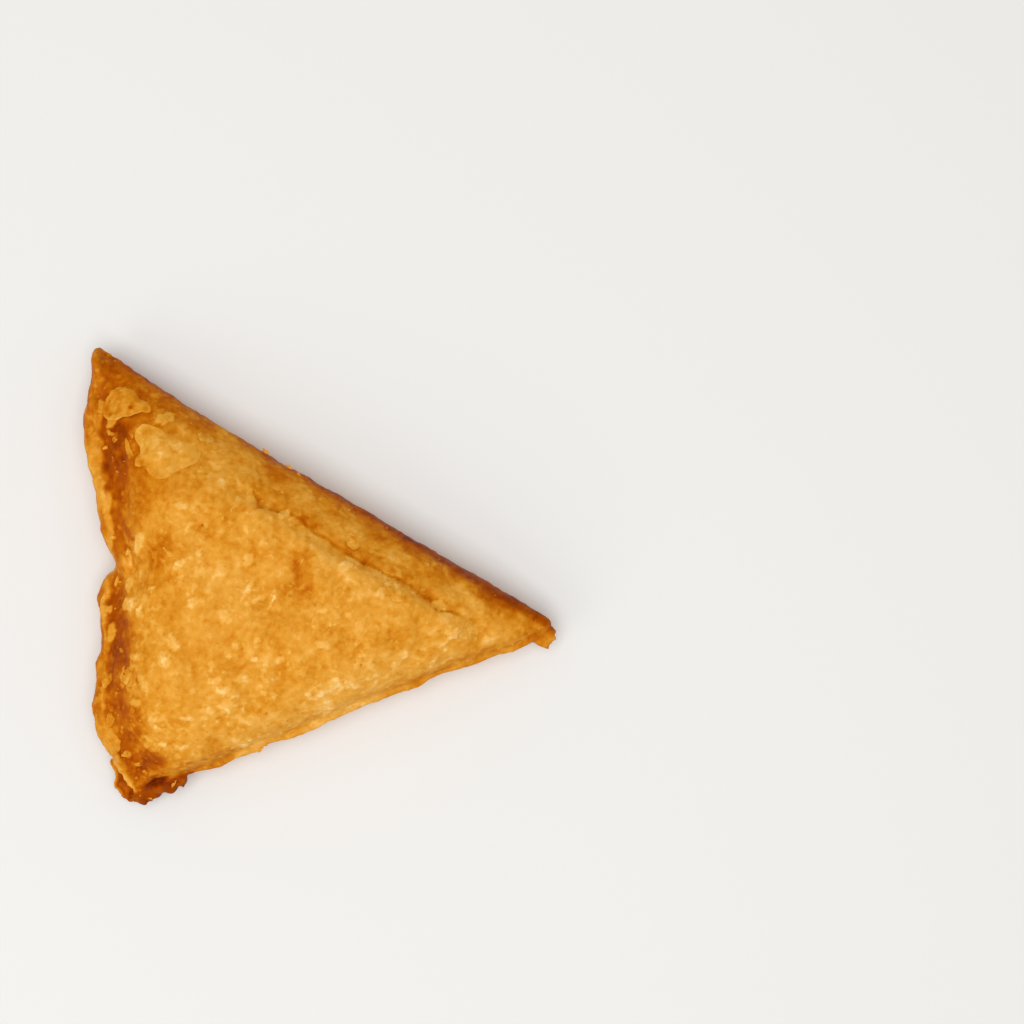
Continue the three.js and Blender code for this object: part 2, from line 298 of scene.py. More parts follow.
def joined(grids):
    """Vertices and faces of several closed grids as one list."""
    vertices, faces, count = [], [], 0
    for grid in grids:
        points, polygons = closed_grid(grid)
        vertices.append(points)
        faces += [[k + count for k in polygon] for polygon in polygons]
        count += len(points)
    return np.vstack(vertices), faces


grids = [
    parcel_surface(),
    *[fold_surface(*fold) for fold in FOLDS],
    *[crumple_surface(*lobe) for lobe in CRUMPLES],
]
vertices, faces = joined(grids)
low, high = vertices.min(axis=0), vertices.max(axis=0)
node_low, node_high = (np.array(corner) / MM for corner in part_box("samosa"))
# From the outline's own millimetres to the part's place
SHIFT = np.array([*((node_low + node_high - low - high) / 2)[:2], 0.0])

crust = mesh_object("crust", vertices + SHIFT, faces)
remesh = crust.modifiers.new("fuse", "REMESH")
remesh.mode = "VOXEL"
remesh.voxel_size = VOXEL * MM
depsgraph = bpy.context.evaluated_depsgraph_get()
fused = bpy.data.meshes.new_from_object(crust.evaluated_get(depsgraph))
crust.modifiers.clear()
crust.data = fused


def read_points(mesh):
    """Vertices of a mesh in the outline's own millimetres, and their normals."""
    places, normals = np.empty(len(mesh.vertices) * 3), np.empty(len(mesh.vertices) * 3)
    mesh.vertices.foreach_get("co", places)
    mesh.vertex_normals.foreach_get("vector", normals)
    return places.reshape(-1, 3) / MM - SHIFT, normals.reshape(-1, 3)


def write_points(mesh, places):
    """Puts vertices given in the outline's own millimetres into a mesh."""
    mesh.vertices.foreach_set("co", ((places + SHIFT) * MM).ravel())
    mesh.update()


def write_attribute(mesh, name, values):
    """Stores one number for each vertex."""
    attribute = mesh.attributes.new(name, "FLOAT", "POINT")
    attribute.data.foreach_set("value", np.asarray(values, np.float32))


def wavy(points, wavelength, seed, count=48):
    """A smooth random field of unit spread: a sum of plane waves of about one length, with random directions
    and phases."""
    rng = np.random.default_rng(seed)
    directions = rng.normal(size=(count, 3))
    directions /= np.linalg.norm(directions, axis=1, keepdims=True)
    lengths = wavelength * rng.uniform(0.7, 1.4, count)
    phases = rng.uniform(0, 2 * np.pi, count)
    return np.sin(points @ (directions.T * 2 * np.pi / lengths) + phases).sum(axis=1) * np.sqrt(2 / count)


def ragged_cells(points, spacing, seed):
    """A random number from 0 to 1 for each vertex, the same all over a ragged cell: the cell is what lies
    nearest to one of the seeds, after a wavy shift of a share of their spacing."""
    rng = np.random.default_rng(seed)
    shift = np.stack([wavy(points, 0.9 * spacing, seed + k) for k in (1, 2, 3)], axis=-1)
    moved = (points + 0.24 * spacing * shift).astype(np.float32)
    seeds = moved[rng.choice(len(points), int(len(points) * (VOXEL / spacing) ** 2), replace=False)]
    nearest = np.empty(len(points), int)
    for block in np.array_split(np.arange(len(points)), 1 + len(points) * len(seeds) // 20_000_000):
        gaps = (seeds**2).sum(axis=1) - 2 * moved[block] @ seeds.T
        nearest[block] = gaps.argmin(axis=1)
    return rng.random(len(seeds))[nearest]


def edge_pairs(mesh):
    """The two vertices of each edge."""
    pairs = np.empty(len(mesh.edges) * 2, np.int32)
    mesh.edges.foreach_get("vertices", pairs)
    return pairs.reshape(-1, 2)


def spread(values, pairs, times):
    """Each vertex takes the mean of its own value and its neighbours', as often as asked."""
    count = np.bincount(pairs.ravel(), minlength=len(values)) + 1
    for _ in range(times):
        total = np.bincount(pairs[:, 0], values[pairs[:, 1]], len(values))
        total += np.bincount(pairs[:, 1], values[pairs[:, 0]], len(values))
        values = (total + values) / count
    return values


def spread_places(places, pairs, times):
    """The same for places in space."""
    return np.stack([spread(places[:, k], pairs, times) for k in range(3)], axis=-1)


def oval(half_length, half_width, turn, points=24):
    """Points of an oval round the origin, turned by degrees."""
    t = np.arange(points) / points * 2 * np.pi
    return np.stack(turned(0, 0, half_length * np.cos(t), half_width * np.sin(t), turn), axis=-1)


def outline_radius(outline, angle, seed, ragged):
    """How far an outline reaches from its middle at each angle: straight between its points, times a sum of
    seeded sines of the angle that makes it ragged, with finer ones the larger the outline is."""
    along, aside = np.transpose(outline)
    radii = np.hypot(along, aside)
    phases = np.random.default_rng(seed).uniform(0, 2 * np.pi, 24)
    finest = 4 + int(min(3.5 * radii.mean(), 18))
    waves = sum(np.sin(k * angle + phases[k]) / k**0.5 for k in range(2, finest))
    return np.interp(angle, np.arctan2(aside, along), radii, period=2 * np.pi) * (1 + ragged * waves)


def share_of_way(x, y, middle, outline, seed=0, ragged=0.0):
    """Share of the way from an outline's middle to its edge: 0 in the middle and 1 on the edge."""
    dx, dy = x - middle[0], y - middle[1]
    return np.hypot(dx, dy) / outline_radius(outline, np.arctan2(dy, dx), seed, ragged)


# The valley between the left folds and the face, from the low corner up: y, x, half width, how brown it is
VALLEY = [
    (-40, -35.6, 1.5, 0.72), (-36, -36.1, 2.2, 0.76), (-33, -37.4, 2, 0.62), (-30, -38.2, 2, 0.55),
    (-27, -39, 2.6, 0.62), (-24, -39.6, 2.6, 0.66), (-20, -39.4, 2.4, 0.75), (-15.5, -39, 2.6, 0.82),
    (-10, -39, 2.9, 0.74), (-5, -39.3, 2.6, 0.74), (0, -39.4, 1.8, 0.66), (5, -39.6, 1.1, 0.66),
    (11, -39.7, 1.7, 0.76), (15, -39, 2.2, 0.76), (19, -38.6, 2.5, 0.76), (24, -39.7, 2.6, 0.9),
    (30, -40, 3.2, 0.95), (34, -39.4, 2.4, 0.75), (38, -40.2, 1.8, 0.48), (42, -41, 1.4, 0.35),
]
# Smoothing passes that draw out the valley, the share of them it gets and its least half width, and the
# passes that fill the joins
VALLEY_SOFTNESS, VALLEY_SHARE, VALLEY_LEAST_HALF = 90, 0.85, 1.9
JOIN_SOFTNESS = 18
# The lip's own join stays sharper: how far inside the lower side it reaches, and how much less is filled
LIP_REACH, LIP_LESS = 5, 0.8

places, normals = read_points(fused)
pairs = edge_pairs(fused)
x, y, _ = places.T
valley_y, *valley_columns = np.transpose(VALLEY)
valley_x, valley_half, valley_brown = (np.interp(y, valley_y, column) for column in valley_columns)
facing_up = smoothstep(normals[:, 2], -0.3, 0.3)
# The dough has run together where the folds and the lip meet the face, so their joins are filled,
# and along the left folds they are drawn out into the valley
softened = spread_places(places, pairs, JOIN_SOFTNESS)
w = weights_of(x, y)
near_lip = smoothstep(LIP_REACH - w[:, 0] * REACH[0], 0, 2) * smoothstep(x, -34, -28)
join = np.clip(((softened - places) * normals).sum(axis=1), 0, None) * facing_up * (1 - LIP_LESS * near_lip)
places = places + normals * join[:, None]
in_valley = facing_up * np.exp(-(((x - valley_x) / np.maximum(valley_half, VALLEY_LEAST_HALF)) ** 4))
drawn_out = spread_places(places, pairs, VALLEY_SOFTNESS)
places = places + (VALLEY_SHARE * in_valley)[:, None] * (drawn_out - places)
write_points(fused, places)

places, normals = read_points(fused)
x, y, z = places.T
w = weights_of(x, y)
inside = {"left": w[:, 2] * REACH[2], "lower": w[:, 0] * REACH[0], "long": w[:, 1] * REACH[1]}
up = smoothstep(normals[:, 2], 0.05, 0.6)
above_table = smoothstep(z, 0.2, 1.2)

# Lumps: wavelength and height
LUMPS = [(7, 0.09), (3, 0.04), (1.5, 0.03)]
lumps = sum(height * wavy(places, length, SEED + k) for k, (length, height) in enumerate(LUMPS))

# Puffed layers: of the ragged cells at each spacing a share stands proud by a height, and is paler
LAYERS = [(7.5, 0.35, 0.09), (3.4, 0.3, 0.08), (1.7, 0.26, 0.07)]
puffs = []
for number, (spacing, share, height) in enumerate(LAYERS):
    draw = ragged_cells(places, spacing, SEED + 10 * number + 10)
    puffs.append(spread(np.clip((share - draw) / share, 0, 1) ** 0.5, pairs, 1))
layers = sum(height * puff for (_, _, height), puff in zip(LAYERS, puffs))

# Round blisters, denser towards the lower side and on the left folds: a dome over each seeded middle
rng = np.random.default_rng(SEED + 5)
DENSE_BELOW, DENSE_OVER, BLISTERS, BLISTER_RADIUS, BLISTER_HEIGHT = -18.0, 12, 520, (0.3, 0.8), 0.2
near_left = 1 - smoothstep(inside["left"], 2, 6)
low_down = smoothstep(-y, -DENSE_BELOW - DENSE_OVER, -DENSE_BELOW + DENSE_OVER)
density = above_table * (0.1 + 0.6 * near_left + low_down)
middles = rng.choice(len(places), BLISTERS, replace=False, p=density / density.sum())
radii = BLISTER_RADIUS[0] + (BLISTER_RADIUS[1] - BLISTER_RADIUS[0]) * rng.random(BLISTERS) ** 3
blister, blister_relief = np.zeros(len(places)), np.zeros(len(places))
for middle, radius in zip(places[middles], radii):
    away = ((places - middle) ** 2).sum(axis=1) / radius**2
    near = np.flatnonzero(away < 1)
    dome = (1 - away[near]) ** 0.7
    blister[near] = np.maximum(blister[near], smoothstep(dome, 0, 0.5))
    blister_relief[near] = np.maximum(blister_relief[near], BLISTER_HEIGHT * radius * dome)

# Longer pale bubbles under the skin: middle in plan, half length, half width, turn in degrees
BUBBLE_RAGGED, BUBBLE_HEIGHT = 0.13, 0.2
BUBBLES = [
    (-39.8, 30.3, 1.6, 1.0, 60), (-29.4, 30.8, 1.9, 1.3, 20), (-34, 6.8, 2.1, 1.1, 80),
    (-36.4, 3.8, 1.6, 0.7, 100), (-36.4, -1.4, 1.6, 0.9, 85), (-36.3, -5.4, 1.9, 1.3, 15),
    (-33.9, -7.1, 1.2, 0.7, -50), (-40.2, -11, 1.9, 1.1, 80), (-40.8, -6.5, 0.9, 0.6, 80),
    (-42.2, -5.6, 2.3, 0.45, 88), (-39.4, -1, 1, 0.4, 70), (-31.6, -2.2, 0.8, 0.5, 20),
    (-23.3, -4.8, 1.3, 1, 60), (-27, -12.6, 2.1, 1.1, -50), (-28.4, -15.6, 1.2, 1.9, 0),
    (-33, -20.4, 2.4, 0.9, 115), (-34.8, -15.6, 1.4, 0.7, 0), (-20.1, -25.9, 0.9, 0.8, 0),
    (-34.9, -24.4, 1.2, 0.9, 10), (-31.5, -27.8, 1.3, 0.8, 40), (-25.5, 13.8, 1.5, 0.8, 160),
    (-12.5, 3.5, 1.5, 1, 60), (-12.7, -2.5, 2.4, 0.5, 60), (-7.9, -4.6, 1.6, 0.25, 65),
    (-15, -13.3, 0.9, 0.8, 0), (-11.5, -15.8, 0.7, 0.6, 0), (-6.5, -15.9, 1, 0.8, 0),
    (-14, -19.5, 1.2, 0.9, 30), (-7.9, -22.8, 0.6, 0.8, 0), (-17.6, -21.6, 1.6, 0.8, 10),
    (-24.5, -27.3, 1.8, 0.5, -10), (-22, 3.6, 1.4, 0.8, 120), (-17, -7.5, 1.2, 1.7, 20),
    (-26, 2.5, 1.3, 0.9, 30), (4, -20.5, 1.5, 1.2, 130), (9, -9, 1.6, 1, 70), (17, -15, 1.4, 1, 10),
    (24, -5.5, 1.7, 1.1, 150), (33, -12.5, 1.2, 0.8, 60), (-6, 12, 1.4, 0.9, 30), (6, 2, 1.8, 1, 20),
    (13, -3, 1.3, 0.9, 100), (27, -11, 1.5, 0.9, 40), (2, -13, 1.7, 0.9, 150), (-37.3, -34.9, 0.9, 0.8, 0),
    (-35.3, -37, 0.6, 0.5, 0), (-29.8, -32.6, 0.9, 0.7, 0),
]
bubble = np.zeros(len(places))
for number, (middle_x, middle_y, *size) in enumerate(BUBBLES):
    way = share_of_way(x, y, (middle_x, middle_y), oval(*size), number, BUBBLE_RAGGED)
    bubble = np.maximum(bubble, up * (1 - smoothstep(way, 0.75, 1.05)))

# Dents and wrinkles pressed into the face: middle, half length, half width, turn in degrees, depth
DENTS = [
    (-3.5, 2, 5.5, 0.9, 97, 0.25), (-0.5, -2.5, 4, 0.7, 84, 0.2), (-9.1, -4.1, 1.6, 0.6, 60, 0.25),
    (-29.5, 6.5, 4, 3, 30, 0.25), (-37.5, 25, 5, 2.2, 80, 0.4), (-36.5, 17, 6, 2.4, 85, 0.35),
    (-17, 25, 6, 1.5, 148, 0.2), (10, 3, 5, 1.1, 60, 0.25), (20, -9, 6, 1, 100, 0.2),
    (31, -8, 4, 0.8, 80, 0.2), (-33.5, -31, 3, 2, 110, 0.4), (-29, -35.5, 3.5, 1.2, 30, 0.35),
    (-32.2, -41, 2.3, 0.6, 23, 1.1),
]
dent = np.zeros(len(places))
for middle_x, middle_y, half_length, half_width, turn, depth in DENTS:
    way = share_of_way(x, y, (middle_x, middle_y), oval(half_length, half_width, turn))
    dent += up * depth * np.exp(-1.2 * way**2)

# At the low tip the face ends in a knobbly edge, and the under layer lies lower outside it
TIP_EDGE = [(-36.4, -43), (-37.2, -41.7), (-39.2, -38.5), (-41.4, -35.8)]
TIP_EDGE_HALF, TIP_EDGE_HEIGHT, TIP_DROP, KNOB_SIZE, KNOB_SWAY = 0.7, 0.35, 0.8, 2.6, 0.25
edge_x, edge_y = np.transpose(TIP_EDGE)
knobs = wavy(places, KNOB_SIZE, SEED + 16)
outside_tip = np.interp(y, edge_y, edge_x) - x + KNOB_SWAY * knobs
at_tip = up * smoothstep(-y, 34, 36.5) * (1 - smoothstep(x, -37, -34))
tip_edge = at_tip * (1 - smoothstep(-y, 42.6, 43.6)) * np.clip(0.6 + 0.5 * knobs, 0, 1.2)
tip_edge *= np.exp(-(((outside_tip + 0.5) / TIP_EDGE_HALF) ** 2))
tip_relief = TIP_EDGE_HEIGHT * tip_edge - TIP_DROP * at_tip * smoothstep(outside_tip, -0.1, 0.6)

# The inner layer's edge shows as a low step along the crease, with a line of painted shadow and toast beside
# it and
# painted shade in the band outside: how far it is from the far tip along the long side, and how far inside
# that side
LAYER_EDGE = [
    (14, 7), (20, 8.4), (30, 8), (40, 8.6), (50.5, 8.5), (52.5, 7.9), (55.3, 8), (59, 9.6), (61, 9.8),
    (64, 7.4), (68, 6),
]
LAYER_EDGE_HEIGHT, LAYER_EDGE_SWAY = 0.28, 0.15
long_way = np.subtract(TOP_TIP, FAR_TIP) / edge_length(TOP_TIP, FAR_TIP)
from_far_tip = (places[:, :2] - FAR_TIP) @ long_way
from_layer_edge = inside["long"] - np.interp(from_far_tip, *np.transpose(LAYER_EDGE))
from_layer_edge -= LAYER_EDGE_SWAY * wavy(places, 4, SEED + 17)
at_layer_edge = up * smoothstep(from_far_tip, 12, 18) * (1 - smoothstep(from_far_tip, 63, 66))
layer_step = at_layer_edge * smoothstep(from_layer_edge, -0.2, 0.3) * (1 - smoothstep(from_layer_edge, 1, 6))

# Pits where a bubble burst: small and deep, given by their middles in plan
PITS = [(-20.8, -8.5), (-28.9, -11), (-9.5, -26.5), (9, -17), (24, -10.5), (-21.5, 10)]
PIT_RADIUS, PIT_DEPTH = 0.33, 0.3
pit = np.zeros(len(places))
for middle_x, middle_y in PITS:
    away = ((x - middle_x) ** 2 + (y - middle_y) ** 2) / PIT_RADIUS**2
    pit = np.maximum(pit, up * np.exp(-1.5 * away))

relief = lumps + layers + blister_relief + BUBBLE_HEIGHT * bubble - dent - PIT_DEPTH * pit + tip_relief
relief += LAYER_EDGE_HEIGHT * layer_step
# The underside was pressed flat, so its relief fades out towards the table
relief *= np.where(normals[:, 2] < -0.2, 0.25 + 0.75 * above_table, 1) * (0.02 + 0.98 * above_table)
places = places + normals * relief[:, None]
places[:, 2] = np.maximum(places[:, 2], 0)
write_points(fused, places)

# Flaking skins that lie on the crust: middle in plan, then an outline of points round it, or the half length,
# half width and turn of an oval; how ragged the outline is, how far the skin stands proud and is puffed up,
# and how far its edge curls up
SKINS = [
    (
        (-37.2, 34),
        [
            (5.1, -1.4), (4.5, 0), (3.3, 0.4), (2.9, 2), (2.6, 3.7), (0.8, 3.9), (-0.8, 3.1), (-2.9, 2.4),
            (-3.9, 0.8), (-4.5, -0.8), (-4.5, -2.6), (-3.5, -3.3), (-2, -3.5), (-0.4, -2.8), (1.8, -2.4),
            (3.5, -1.8), (4.7, -2.2),
        ],
        0.015, 0.12, 0.3, 0.35,
    ),
    (
        (-28.8, 24.4),
        [
            (6.5, 0.2), (4.9, 2.4), (2.2, 3.9), (-0.6, 4.3), (-2.8, 4.9), (-4.7, 5.5), (-6.1, 4.1),
            (-6.1, 2.2), (-5.1, 1), (-4.9, -0.4), (-6.1, -1.6), (-5.7, -2.8), (-3.9, -3.1), (-3.1, -4.5),
            (-1.8, -5.1), (0, -5.3), (1.8, -4.3), (2.9, -3.5), (4.7, -2.9), (6.3, -1.8),
        ],
        0.015, 0.1, 0.2, 0.12,
    ),
    ((-29.2, 31), oval(1, 0.7, 20), 0.05, 0.04, 0.1, 0.06),
    ((-42.2, 33.4), oval(1.6, 1.1, 50), 0.1, 0.05, 0.12, 0.12),
    ((-21.5, 27), oval(1.5, 1.1, -30), 0.1, 0.04, 0.08, 0.05),
    ((-36.4, -19.3), oval(1.9, 1.7, 80), 0.09, 0.04, 0.1, 0.08),
    ((-41, -20), oval(2.4, 0.8, 62), 0.1, 0.05, 0.12, 0.12),
    ((-40.6, -28), oval(1.4, 0.9, 75), 0.1, 0.04, 0.1, 0.08),
    ((-40, -32.2), oval(2.5, 1.2, 100), 0.1, 0.04, 0.1, 0.1),
    ((-36.2, 24.6), oval(2.6, 0.6, -75), 0.1, 0.06, 0.12, 0.1),
    ((2.5, -7), oval(3.4, 2.4, 35), 0.1, 0.05, 0.15, 0.1),
    ((16, -2.5), oval(2.6, 1.9, 160), 0.1, 0.05, 0.15, 0.1),
    ((8, 7.5), oval(2.2, 1.6, 70), 0.1, 0.05, 0.12, 0.08),
    ((30, -10.5), oval(2.3, 1.5, 20), 0.1, 0.05, 0.12, 0.08),
]

# How pale and how brown the crust is
places, normals = read_points(fused)
x, y, z = places.T
# How deep each spot lies in a hollow: hollows get painted shade together with browning from soaked-in oil,
# and ridges a painted highlight together with the paler puffed crust
HOLLOW_SOFTNESS, WIDE_HOLLOW_SOFTNESS = 3, 32
hollow = ((spread_places(places, pairs, HOLLOW_SOFTNESS) - places) * normals).sum(axis=1)
wide_hollow = ((spread_places(places, pairs, WIDE_HOLLOW_SOFTNESS) - places) * normals).sum(axis=1)
wander = wavy(places, 9, SEED + 7)
streaks = wavy(places * (1, 0.35, 1), 2.2, SEED + 8)
# Painted shadow, with some toasting: a thin browner band round each skin's outline on its low left side
skin_shadow_and_toast = np.zeros(len(places))
for number, (middle, outline, ragged, *_) in enumerate(SKINS):
    way = share_of_way(x, y, middle, outline, number, ragged)
    below = smoothstep(-(y - middle[1]) - 0.4 * (x - middle[0]), -2, 2)
    skin_shadow_and_toast = np.maximum(skin_shadow_and_toast, up * below * np.exp(-(((way - 1.05) / 0.12) ** 2)))
# Amber clouds: middle in plan, half length, half width, turn in degrees, how brown
CLOUDS = [
    (-30.2, 4.4, 4.6, 3, 80, 0.38), (-34.6, 13.5, 5, 4, 60, 0.36), (-28.5, 17, 5, 2.4, 10, 0.2),
    (-37.6, 7.5, 6, 2.4, 88, 0.62), (-31, -1.5, 4, 2.2, 20, 0.25), (-34.5, 23, 6.5, 3.2, 82, 0.45),
    (-37, -11, 4.5, 1.6, 90, 0.45), (-35.2, -28.2, 4.8, 2.8, 95, 0.48), (-2.2, 2.6, 4.6, 2.3, 85, 0.54),
    (-11.3, 3.5, 3, 2, 80, 0.26), (-15.2, 12.5, 3, 2, 60, 0.26),
    (-22.5, 19, 4, 1.8, -20, 0.06), (-3.4, -2.4, 3.8, 2.7, 10, 0.42), (-8.6, -2.2, 2.6, 1, 80, 0.3),
    (-32, -37, 5, 2.6, -40, 0.45), (-24, -37, 5, 1.3, 22, 0.2), (-6, 15, 5, 1.4, -35, 0.3),
    (-12, 21.5, 6, 1.4, -32, 0.1), (-15, -12, 4, 2.2, 70, 0.12), (-22, -9.5, 3.5, 1.6, 120, 0.12),
    (12, -12, 5, 2.6, 20, 0.2), (22, 0, 6, 2, -30, 0.25), (34, -8, 4, 2.4, 0, 0.25),
]
cloud = np.zeros(len(places))
for number, (middle_x, middle_y, half_length, half_width, turn, strength) in enumerate(CLOUDS):
    way = share_of_way(x, y, (middle_x, middle_y), oval(half_length, half_width, turn), number + 60, 0.1)
    cloud = np.maximum(cloud, strength * up * (1 - smoothstep(way, 0.35, 1.3)))
long_band = (1 - smoothstep(inside["long"] + 1.1 * wander, -0.5, 5)) * smoothstep(z, 1, 6)
top_corner = smoothstep(w[:, 0] + 0.02 * wander, 0.7, 0.9)
long_band *= 1 - 0.35 * top_corner * (1 - smoothstep(x, -42, -38))
low_corner = smoothstep(w[:, 1] + 0.02 * wander, 0.86, 0.96)
far_corner = smoothstep(w[:, 2] + 0.02 * wander, 0.84, 1.0)
across = (x - valley_x + 0.35 * wander + 0.3 * wavy(places, 3.2, SEED + 6)) / valley_half
valley = up * valley_brown * (1 - smoothstep(-across, 0.6, 1.2)) * (1 - smoothstep(across, 0.3, 2.1))
# Painted shade at the low tip: the under layer is darker outside the face's edge and in the deep fold beneath
# the tip
deep_fold_shade = smoothstep(-y + 0.37 * (x + 33.8), 41.2, 42.2) * (1 - smoothstep(x, -25.5, -23))
under_layer_shade = np.maximum(at_tip * smoothstep(outside_tip, 0, 0.5), deep_fold_shade)
seen_from_above = smoothstep(normals[:, 2], -0.6, 0.2)
lip = smoothstep(1.7 - inside["lower"], 0, 0.8) * smoothstep(x, -32, -27) * seen_from_above
# It is toasted towards the low tip and stays light along its middle
light_lip = smoothstep(x + 0.5 * wander, -19, -14) * (1 - smoothstep(x, 8, 20))
# Beside the lip's middle the crust is paler: its own pale colour, and painted light that lifts the shade of
# the groove between lip and face
pale_and_lit_by_lip = light_lip * (1 - smoothstep(inside["lower"], 3, 7)) * seen_from_above
# The folds outside the valley, from the low corner up: y, how pale, how brown
FOLD_TONES = [
    (-38, 0.4, 0.3), (-34, 0.7, 0.15), (-30, 0.8, 0.1), (-27, 0.5, 0.18), (-24, 0.1, 0.42), (-21, 0.3, 0.2),
    (-18, 0.2, 0.35), (-12, 0, 0.48), (0, 0, 0.48), (6, 0, 0.42), (12, 0.2, 0.3), (17, 0.4, 0.14),
    (26, 0.6, 0.12), (29, 0, 0.5), (36, 0, 0.46), (42, 0, 0.3),
]
tone_y, *tone_columns = np.transpose(FOLD_TONES)
fold_pale, fold_brown = (np.interp(y + 0.8 * streaks, tone_y, column) for column in tone_columns)
on_fold = seen_from_above * (1 - smoothstep(x - valley_x + valley_half + 0.3 * streaks, -0.9, 0.3))
top_brown = 0.24 + 0.36 * smoothstep(x + 0.5 * wander, -43, -40.5)
toward_left = 1 - smoothstep(x + 2 * wander, -37, -12)
toward_top = smoothstep(y + 3 * wander, 4, 30)
# Painted shade on the steep walls, browner the less they face up
side_wall_shade = 1 - smoothstep(normals[:, 2], -0.2, 0.55)
# How much of the painted shade in hollows and round the skins is kept: less in the valley and by the lip's
# middle
painted_shade_share = (1 - 0.7 * np.clip(valley, 0, 1)) * (1 - 0.7 * pale_and_lit_by_lip)
# Painted shade: a thin browner line along the very rim of the long side, where its steep edge lies in shadow
long_rim_shade = smoothstep(1.3 - inside["long"], 0, 1.3) * smoothstep(x, -39, -34)
# Painted shadow, with some toasting, along the layer's edge, and painted shade in the band outside it
layer_shadow_line = at_layer_edge * np.exp(-(((from_layer_edge + 0.45) / 0.55) ** 2)) * (0.85 + 0.15 * streaks)
layer_shade = at_layer_edge * np.exp(-(((from_layer_edge + 1.5) / 1.4) ** 2))
# Toasted zones and zones of painted shade, of which only the brownest counts at a spot
zones = [
    0.68 * long_band, top_brown * top_corner, 0.88 * low_corner * (1 - 0.8 * on_fold), 0.5 * far_corner,
    valley, 0.62 * layer_shadow_line, 0.38 * layer_shade, cloud, 1.05 * under_layer_shade,
    0.3 * lip * (1 - light_lip), fold_brown * on_fold,
]
# Besides the toasting, the brown holds painted shade on the long side's rim, on the steep walls, round the
# skins, and in dents and hollows together with soaked-in oil
brown = (
    np.maximum.reduce(zones) + 0.2 * toward_left + 0.08 * toward_top + 0.5 * long_rim_shade
    + 0.15 * side_wall_shade * (1 - 0.7 * pale_and_lit_by_lip) + 0.6 * pit + 0.35 * dent
    + (0.2 * skin_shadow_and_toast + 0.6 * np.clip(wide_hollow, 0, 0.4) + np.clip(hollow, 0, 0.4)) * painted_shade_share
)
brown *= (1 - 0.6 * np.clip(tip_edge, 0, 1)) * (1 - 0.55 * bubble)
# Besides the crust's own paleness, the pale holds a painted highlight on ridges and painted light by the
# lip's middle
pale = (
    0.9 * blister + bubble + 0.3 * puffs[0] + 0.5 * puffs[1] + 0.6 * puffs[2]
    + on_fold * fold_pale * (0.8 + 0.4 * streaks) + 2 * np.clip(-hollow, 0, 0.3) + 0.3 * tip_edge
    + 0.45 * pale_and_lit_by_lip
)


def linear(red, green, blue):
    """Linear colour from the 0 to 255 values seen on a screen."""
    c = np.array([red, green, blue]) / 255
    return (*np.where(c <= 0.04045, c / 12.92, ((c + 0.055) / 1.055) ** 2.4), 1.0)


def add_node(tree, kind, settings=None, **inputs):
    """Adds a node and sets its fields and sockets. A socket value that is itself a socket is linked."""
    node = tree.nodes.new(kind)
    for name, value in (settings or {}).items():
        setattr(node, name, value)
    for name, value in inputs.items():
        socket = node.inputs[int(name[1:])] if name[0] == "_" else node.inputs[name.replace("_", " ")]
        if isinstance(value, bpy.types.NodeSocket):
            tree.links.new(value, socket)
        else:
            socket.default_value = value
    return node


def math_node(tree, operation, first, second, third=0.0):
    """Result of one Math node."""
    node = add_node(tree, "ShaderNodeMath", {"operation": operation}, _0=first, _1=second, _2=third)
    return node.outputs[0]


# Tone of the plain crust, and how far it rises where fully pale and falls where fully brown
PLAIN_TONE, PALE_TONE, BROWN_TONE = 0.68, 0.13, -0.4
# Toasting turns the dough from cream, the highest tone, over gold and amber to dark brown
TOAST = [
    (0.0, (70, 20, 0)), (0.15, (122, 43, 0)), (0.3, (166, 75, 1)), (0.42, (188, 99, 4)),
    (0.54, (206, 126, 20)), (0.66, (220, 147, 42)), (0.78, (230, 163, 62)), (0.9, (240, 180, 88)),
    (1.0, (248, 202, 124)),
]


